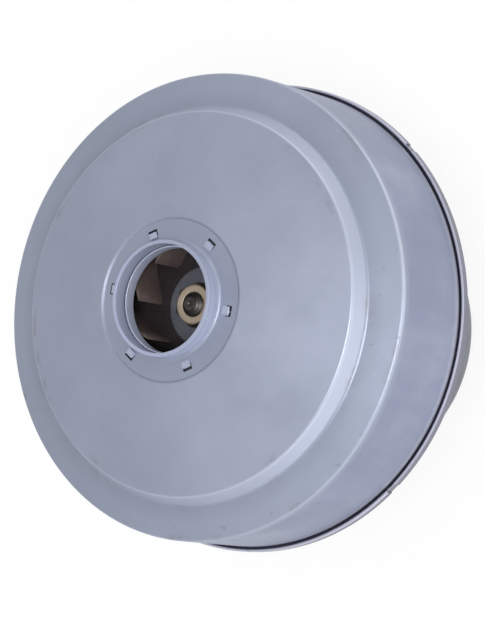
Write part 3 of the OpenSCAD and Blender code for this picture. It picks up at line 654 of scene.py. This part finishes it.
def addSealHolder():
    inner, outer, sheet = holder["inner"], holder["outer"], holder["sheet"]
    foot, top = holder["low"] + holder["lift"], cover["flat"] - cover["sheet"]
    under, lip, lipTop = top - sheet, inner + holder["lip"], top + holder["lipRise"]
    skirt = under - holder["skirt"]
    footBend, innerBend, lipBend = holder["footBend"], holder["innerBend"], holder["lipBend"]
    ring = roundCorners([
        (inner, foot, footBend), (inner + sheet, foot, footBend), (inner + sheet, under, innerBend),
        (outer - sheet, under, innerBend), (outer - sheet, skirt, 0), (outer, skirt, 0),
        (outer, top, holder["outerBend"]), (lip, top, 0), (lip, lipTop, lipBend), (inner, lipTop, lipBend)],
        holder["bendSteps"])
    pieces = [spinShape("sealHolder", ring, holder["steps"])]
    half, sheet = tabs["width"] / 2, tabs["sheet"]
    start = tabs["radius"] - sheet / 2
    for k in range(tabs["count"]):
        tab = boxShape("tab", (start, -half, top - sheet), (start + sheet, half, cover["flat"] + sheet))
        bpy.ops.object.mode_set(mode="EDIT")
        bpy.ops.mesh.select_all(action="SELECT")
        bpy.ops.mesh.bisect(plane_co=(0, 0, cover["flat"] * mm), plane_no=(0, 0, 1))
        bpy.ops.object.mode_set(mode="OBJECT")
        # The upper part of the inner face is drawn out to make the bent end
        for face in tab.data.polygons:
            face.select = face.normal.x < -0.9 and face.center.z > cover["flat"] * mm
        bpy.ops.object.mode_set(mode="EDIT")
        bpy.ops.mesh.select_mode(type="FACE")
        bpy.ops.mesh.extrude_region_move(TRANSFORM_OT_translate={"value": (-2 * sheet * mm, 0, 0)})
        bpy.ops.object.mode_set(mode="OBJECT")
        softEdges(tab, tabs["bend"], tabs["bendSteps"])
        pieces.append(placeShape(tab, tabs["first"] + 360 / tabs["count"] * k))
    finishPiece(joinShapes("sealHolder", *pieces), "motor_body", "seal_metal", "seal_holder")


addCover()
addSealHolder()
print("fan cover and seal holder made")


# Bracket and motor frame

screws = {"count": 4, "first": 45, "ring": 46.0, "hole": 1.52, "sides": 24}


def cutScrewHoles(piece, low, high):
    for k in range(screws["count"]):
        hole = rodShape("holeCutter", screws["hole"], low, high, screws["sides"])
        cutAway(piece, placeShape(hole, screws["first"] + 360 / screws["count"] * k, (screws["ring"], 0, 0)))


bracketLow, bracketHigh = (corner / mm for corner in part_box("end_bracket"))
bracket = {
    "rim": bracketHigh.x, "rimSheet": 0.7, "rimHeight": 1.5, "rimFootBend": 0.5, "rimBends": (0.3, 0.2),
    "plainAt": 99.0, "plainSpread": 90.0, "plainDrop": 0.25, "notchSpread": 2.55, "notchDepth": 0.5,
    "plateTop": bracketHigh.z, "flange": bracketLow.z, "sheet": 1.5, "pan": 63.3,
    "panBends": (1.2, 1.0), "seamBends": (0.5, 2.0),
    "seat": 11.02, "cupDepth": 9.32, "cupSheet": 1.2, "cupLip": 3.0, "cupBend": 0.8, "seatBend": 0.3,
    "windows": 6, "windowIn": 15.52, "windowOut": 35.0, "windowSpread": 42.0, "windowCut": 3.0,
    "windowSteps": 24, "windowTwist": 0.001, "holeCut": 4.0, "bendSteps": 5, "steps": 256, "smooth": 30,
}


def addBracket():
    rim, wall, sheet = bracket["rim"], bracket["rimSheet"], bracket["sheet"]
    flange, top, pan = bracket["flange"], bracket["plateTop"], bracket["pan"]
    rimFoot, seat, cupLow = flange + sheet, bracket["seat"], top - bracket["cupDepth"]
    rimTop, lip = rimFoot + bracket["rimHeight"], seat - bracket["cupLip"]
    cupFloor = cupLow + bracket["cupSheet"]
    cupBend, seatBend, rimBends = bracket["cupBend"], bracket["seatBend"], bracket["rimBends"]
    path = roundCorners([
        (lip, cupLow, 0), (seat + sheet, cupLow, cupBend), (seat + sheet, top - sheet, cupBend),
        (pan - sheet, top - sheet, bracket["panBends"][0]), (pan - sheet, flange, bracket["panBends"][1]),
        (rim, flange, bracket["rimFootBend"]), (rim, rimTop, rimBends[0]), (rim - wall, rimTop, rimBends[1]),
        (rim - wall, rimFoot, 0),
        (pan, rimFoot, bracket["seamBends"][0]), (pan, top, bracket["seamBends"][1]),
        (seat, top, seatBend), (seat, cupFloor, seatBend), (lip, cupFloor, 0)], bracket["bendSteps"])
    piece = spinShape("endBracket", path, bracket["steps"])
    far, near = rim + over, rim - wall - over
    plainAt, plainSpread = bracket["plainAt"], bracket["plainSpread"]
    notch = bracket["notchSpread"], bracket["notchDepth"]
    for half in (0, 180):
        # A plain length is cut first, then the notch at each of its ends
        for angle, spread, drop in (
                (half + plainAt, plainSpread, bracket["plainDrop"]),
                (half + plainAt - plainSpread / 2, *notch), (half + plainAt + plainSpread / 2, *notch)):
            edge = pathOf((rim - drop, flange - over), (far, flange - over), (far, rimTop + over),
                          (near, rimTop + over), (near, rimTop - drop), (rim - drop, rimTop - drop))
            cutAway(piece, aimShape(spinShape("rimCutter", edge, max(4, round(spread)), spread), angle))
    low, high, deep = bracket["windowIn"], bracket["windowOut"], top - bracket["windowCut"]
    hole = pathOf((low, deep), (high, deep), (high, top + over), (low, top + over))
    for k in range(bracket["windows"]):
        window = spinShape("windowCutter", hole, bracket["windowSteps"], bracket["windowSpread"])
        # A trace of twist keeps the cutter's sides off the plate's own edges
        cutAway(piece, aimShape(window, 360 / bracket["windows"] * k + bracket["windowTwist"]))
    cutScrewHoles(piece, top - bracket["holeCut"], top + over)
    finishPiece(piece, "motor_body", "zinc_plate", "end_bracket", angle=bracket["smooth"])


motor = {
    "wall": 41.0, "sheet": 1.0, "rear": 12.0, "corner": 8.0, "boss": 12.02, "bossBends": (1.5, 0.8),
    "flange": 50.0, "flangeBend": 1.2, "top": 80.5, "holeCut": (2.0, 3.0), "steps": 192, "smooth": 30,
    "windows": 4, "windowFirst": 45, "windowWidth": 20.0, "windowLow": 20.4, "windowHigh": 35.4,
    "windowBend": 1.5, "windowBendSteps": 4, "cutterIn": 20.5, "cutterOut": 57.4,
    "brushHeight": 28.0, "bodyWidth": 11.44, "bodyHeight": 14.94, "bodyRoom": 0.05,
}


def addMotorFrame():
    wall, sheet, rear, boss = motor["wall"], motor["sheet"], motor["rear"], motor["boss"]
    near, far, under = motor["cutterIn"], motor["cutterOut"], motor["top"] - sheet
    path = sheetPath([
        (0, 0, 0), (boss, 0, motor["bossBends"][0]), (boss, rear, motor["bossBends"][1]),
        (wall, rear, motor["corner"]), (wall, under, motor["flangeBend"]),
        (motor["flange"], under, 0)], sheet)
    piece = spinShape("motorFrame", path, motor["steps"])
    half = motor["windowWidth"] / 2
    for k in range(motor["windows"]):
        window = boxShape("windowCutter", (near, -half, motor["windowLow"]), (far, half, motor["windowHigh"]))
        softEdges(window, motor["windowBend"], motor["windowBendSteps"])
        cutAway(piece, placeShape(window, motor["windowFirst"] + 360 / motor["windows"] * k))
    cutScrewHoles(piece, under - motor["holeCut"][0], under + motor["holeCut"][1])
    wide = motor["bodyWidth"] / 2 + motor["bodyRoom"]
    rise = motor["bodyHeight"] / 2 + motor["bodyRoom"]
    low, high = motor["brushHeight"] - rise, motor["brushHeight"] + rise
    for turn in (0, 180):
        cutAway(piece, placeShape(boxShape("brushCutter", (near, -wide, low), (far, wide, high)), turn))
    finishPiece(piece, "motor_body", "zinc_plate", "motor_frame", angle=motor["smooth"])


addBracket()
addMotorFrame()
print("bracket and frame made")


# Rotor

nutLow, nutHigh = (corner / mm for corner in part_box("impeller_nut"))
nut = {
    "flats": 11.0, "thread": 3.35, "face": 5.2, "faceSlope": 32, "mouth": 0.3, "shellRoom": 0.1,
    "shellSteps": 96, "boreSteps": 64, "soft": 0.08, "softSteps": 2, "softAngle": 25, "smooth": 20,
}


def addNut():
    low, high, thread, mouth, face = nutLow.z, nutHigh.z, nut["thread"], nut["mouth"], nut["face"]
    corner = nut["flats"] / 2 / math.cos(math.radians(30))
    piece = rodShape("impellerNut", corner, low, high, 6)
    if piece.dimensions.x < piece.dimensions.y:
        placeShape(piece, 30)
    drop = (corner - face) * math.tan(math.radians(nut["faceSlope"]))
    outside = corner + nut["shellRoom"]
    shell = pathOf((0, low), (outside, low), (outside, high - drop), (face, high), (0, high))
    cutAway(piece, spinShape("nutShell", shell, nut["shellSteps"]), "INTERSECT")
    bore = pathOf((0, low - over), (thread, low - over), (thread, high - mouth),
                  (thread + 2 * mouth, high + mouth), (0, high + mouth))
    cutAway(piece, spinShape("boreCutter", bore, nut["boreSteps"]))
    softEdges(piece, nut["soft"], nut["softSteps"], nut["softAngle"])
    finishPiece(piece, "rotor", "yellow_zinc", "impeller_nut", angle=nut["smooth"])


shaftLow, shaftHigh = (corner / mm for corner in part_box("shaft"))
shaft = {
    "radius": 3.98, "footBevel": 0.4, "seat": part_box("impeller_back_plate")[0].z / mm, "bevel": 1.5,
    "plainEnd": nutHigh.z - 1.5, "groovesFrom": nutHigh.z - 1.4, "groovesTo": shaftHigh.z - 0.1,
    "groove": 0.3, "grooves": 5, "grooveShares": (0.1, 0.5, 0.9), "mark": 0.8, "steps": 72,
}


def addShaft():
    low, high, thread, bevel = shaftLow.z, shaftHigh.z, nut["thread"], shaft["bevel"]
    radius, foot, mark = shaft["radius"], shaft["footBevel"], shaft["mark"]
    path = pathOf((0, low), (radius - foot, low), (radius, low + foot), (radius, shaft["seat"]),
                  (thread, shaft["seat"]), (thread, shaft["plainEnd"]))
    pitch = (shaft["groovesTo"] - shaft["groovesFrom"]) / shaft["grooves"]
    for k in range(shaft["grooves"]):
        for share, depth in zip(shaft["grooveShares"], (0, shaft["groove"], 0)):
            z = shaft["groovesFrom"] + (k + share) * pitch
            path.append(Vector((thread - max(0, z - high + bevel) - depth, z)))
    path += pathOf((thread - bevel, high), (mark, high), (0, high - mark))
    finishPiece(spinShape("rotorShaft", path, shaft["steps"]), "rotor", "shaft_steel", "shaft")


washerLow, washerHigh = (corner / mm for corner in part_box("clamp_washer"))
washer = {"room": 0.02, "footBend": 0.2, "edgeBend": 0.4, "topBend": 0.6, "bendSteps": 5, "steps": 128}


def addWasher():
    low, high, edge, hole = washerLow.z, washerHigh.z, washerHigh.x, nut["thread"] + washer["room"]
    half = (high - low) / 2
    path = roundCorners([
        (hole, low, 0), (edge, low, washer["footBend"]), (edge, low + half, washer["edgeBend"]),
        (edge - half, high, washer["topBend"]), (hole, high, 0)], washer["bendSteps"])
    finishPiece(spinShape("clampWasher", path, washer["steps"]), "rotor", "black_steel", "clamp_washer")


shroudLow, shroudHigh = (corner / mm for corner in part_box("impeller_shroud"))
impeller = {
    "bladeSoft": 0.15, "bladeSoftSteps": 2, "bladeSoftAngle": 50, "sheet": 0.8,
    "neck": 111.2, "neckOut": 22.1, "eye": 16.5, "neckBends": (1.5, 1.2), "steps": 192,
}


def addImpeller():
    blades = cadCopy("impeller_blades", "impellerBlades")
    softEdges(blades, impeller["bladeSoft"], impeller["bladeSoftSteps"], impeller["bladeSoftAngle"])
    finishPiece(blades, "rotor", "impeller_sheet", "impeller_blades")
    neck, eye, sheet, bends = impeller["neck"], impeller["eye"], impeller["sheet"], impeller["neckBends"]
    path = sheetPath([
        (shroudHigh.x, shroudLow.z + sheet, 0), (impeller["neckOut"], neck, bends[0]), (eye, neck, bends[1]),
        (eye, shroudHigh.z, 0)], sheet)
    shroud = spinShape("impellerShroud", path, impeller["steps"])
    finishPiece(shroud, "rotor", "impeller_sheet", "impeller_shroud")


addNut()
addShaft()
addWasher()
addImpeller()
print("rotor made")


# Brush gear

spring = {
    "turns": 8, "wire": 0.25, "wireSides": 10, "coil": 2.5, "coilSteps": 28, "start": 31.62, "end": 44.98,
    "travel": 8.0, "smooth": 60,
}
brushGear = {
    "holderSoft": 0.35, "holderSoftSteps": 3, "terminalSoft": 0.1, "terminalSoftSteps": 2, "softAngle": 50,
}


def addSpring(name, node, turn):
    length = spring["end"] - spring["start"] - 2 * spring["wire"]
    bpy.ops.object.select_all(action="DESELECT")
    bpy.ops.mesh.primitive_circle_add(vertices=spring["wireSides"], radius=spring["wire"] * mm)
    piece = bpy.context.object
    piece.name = name
    placeShape(piece, 0, (spring["coil"], 0, 0), (90, 0, 0))
    coil = piece.modifiers.new("coil", "SCREW")
    coil.axis = "Z"
    coil.angle = 2 * math.pi
    coil.iterations = spring["turns"]
    coil.screw_offset = length / spring["turns"] * mm
    coil.steps = coil.render_steps = spring["coilSteps"]
    makeActive(piece)
    bpy.ops.object.modifier_apply(modifier=coil.name)
    bpy.ops.object.mode_set(mode="EDIT")
    closeHoles()
    bpy.ops.mesh.normals_make_consistent(inside=False)
    bpy.ops.object.mode_set(mode="OBJECT")
    placeShape(piece, turn, (spring["start"] + spring["wire"], 0, motor["brushHeight"]), (0, 90, 0))
    finishPiece(piece, "motor_body", "spring_steel", node, angle=spring["smooth"])
    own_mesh(piece)


def addBrushGear():
    angle = brushGear["softAngle"]
    for word, turn in (("up", 0), ("down", 180)):
        case = cadCopy("brush_holder_" + word, "brushHolder" + word.title())
        softEdges(case, brushGear["holderSoft"], brushGear["holderSoftSteps"], angle)
        finishPiece(case, "motor_body", "holder_plastic", "brush_holder_" + word)
        blade = cadCopy("terminal_" + word, "terminal" + word.title())
        softEdges(blade, brushGear["terminalSoft"], brushGear["terminalSoftSteps"], angle)
        finishPiece(blade, "motor_body", "brass", "terminal_" + word)
        addSpring("brushSpring" + word.title(), "brush_spring_" + word, turn)


addBrushGear()
print("brush gear made")


# Studio, in metres

floorLook = {
    "size": 6.0, "roughness": 0.9, "fibre": {"scale": 120, "detail": 2},
    "tones": [(0.3, (0.90, 0.90, 0.90)), (0.7, (0.94, 0.94, 0.94))], "glowShare": 0.84,
}
sky = {
    "colour": (0.97, 0.98, 1.0, 1), "level": 0.72, "glow": 0.8, "lean": (0.2, 0.97),
    "fadeAcross": (-0.2, 0.7), "fadeUp": (0.0, 0.45),
}
photo = {
    "at": (0.0, -0.381, 0.6495), "right": (0.189, -0.816, -0.546), "up": (0.982, 0.157, 0.105),
    "focalPixels": 2400.0, "height": 628, "sensor": 36.0, "nearest": 0.01,
}
lampTarget = (0, 0, 0.09)
lamps = {
    "sideLight": {"at": (-0.40, -0.95, 0.20), "size": (2.2, 0.4), "power": 4.0},
    "topLight": {"at": (1.0, -0.1, 0.3), "size": (0.8, 0.4), "power": 1.6},
    "eyeLight": {"at": (-0.06, -0.50, 0.9), "size": (0.25, 0.25), "power": 5.0},
}


def addFloor():
    bpy.ops.object.select_all(action="DESELECT")
    bpy.ops.mesh.primitive_plane_add(size=floorLook["size"], location=(0, 0, cadLow[2]))
    floor = bpy.context.object
    floor.name = "studioFloor"
    paper, tree, shader, place = newFinish("studioPaper")
    shader.inputs["Roughness"].default_value = floorLook["roughness"]
    fibre = addNoise(tree, place, **floorLook["fibre"])
    tree.links.new(addRamp(tree, fibre, floorLook["tones"]), shader.inputs["Base Color"])
    # The floor glows where it is seen, so that it melts into the air
    glow = addNode(tree, "ShaderNodeEmission", Strength=1.0)
    rays = addNode(tree, "ShaderNodeLightPath")
    seen = addMath(tree, "MAXIMUM", rays.outputs["Is Camera Ray"], rays.outputs["Is Glossy Ray"])
    seen = addMath(tree, "MAXIMUM", seen, rays.outputs["Is Transmission Ray"])
    mix = addNode(tree, "ShaderNodeMixShader")
    tree.links.new(addMath(tree, "MULTIPLY", seen, floorLook["glowShare"]), mix.inputs["Fac"])
    tree.links.new(shader.outputs["BSDF"], mix.inputs[1])
    tree.links.new(glow.outputs["Emission"], mix.inputs[2])
    tree.links.new(mix.outputs["Shader"], tree.nodes["Material Output"].inputs["Surface"])
    floor.data.materials.append(paper)
    floor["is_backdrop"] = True


def addWorld():
    world = bpy.data.worlds.new("studioAir")
    world.use_nodes = True
    bpy.context.scene.world = world
    tree = world.node_tree
    air = tree.nodes["Background"]
    air.inputs["Color"].default_value = sky["colour"]
    way = addNode(tree, "ShaderNodeTexCoord")
    split = addNode(tree, "ShaderNodeSeparateXYZ")
    tree.links.new(way.outputs["Generated"], split.inputs["Vector"])
    # The air is even above and brighter low down on the right
    leanX, leanY = sky["lean"]
    across = addMath(tree, "ADD", addMath(tree, "MULTIPLY", split.outputs["Y"], leanY),
                     addMath(tree, "MULTIPLY", split.outputs["X"], leanX))
    beside = addRange(tree, across, 1.0, 0.0, *sky["fadeAcross"])
    low = addRange(tree, split.outputs["Z"], sky["glow"], 0.0, *sky["fadeUp"])
    level = addMath(tree, "ADD", addMath(tree, "MULTIPLY", beside, low), sky["level"])
    rays = addNode(tree, "ShaderNodeLightPath")
    level = addMath(tree, "MAXIMUM", level, rays.outputs["Is Camera Ray"])
    tree.links.new(level, air.inputs["Strength"])


def addCamera():
    right, up = Vector(photo["right"]).normalized(), Vector(photo["up"]).normalized()
    lens = bpy.data.cameras.new("photoCamera")
    lens.sensor_width = photo["sensor"]
    lens.lens = photo["focalPixels"] / photo["height"] * photo["sensor"]
    lens.clip_start = photo["nearest"]
    camera = bpy.data.objects.new("photoCamera", lens)
    bpy.context.scene.collection.objects.link(camera)
    turn = Matrix((right, up, right.cross(up))).transposed().to_4x4()
    camera.matrix_world = Matrix.Translation(photo["at"]) @ turn
    bpy.context.scene.camera = camera


def addLamp(name, at, size, power):
    lamp = bpy.data.lights.new(name, "AREA")
    lamp.shape = "RECTANGLE"
    lamp.size, lamp.size_y = size
    lamp.energy = power
    stand = bpy.data.objects.new(name, lamp)
    bpy.context.scene.collection.objects.link(stand)
    stand.location = at
    stand.rotation_euler = (Vector(lampTarget) - Vector(at)).to_track_quat("-Z", "Y").to_euler()


addFloor()
addWorld()
addCamera()
for lampName, lampSettings in lamps.items():
    addLamp(lampName, **lampSettings)
bpy.context.scene.view_settings.view_transform = "Standard"
print("studio set")
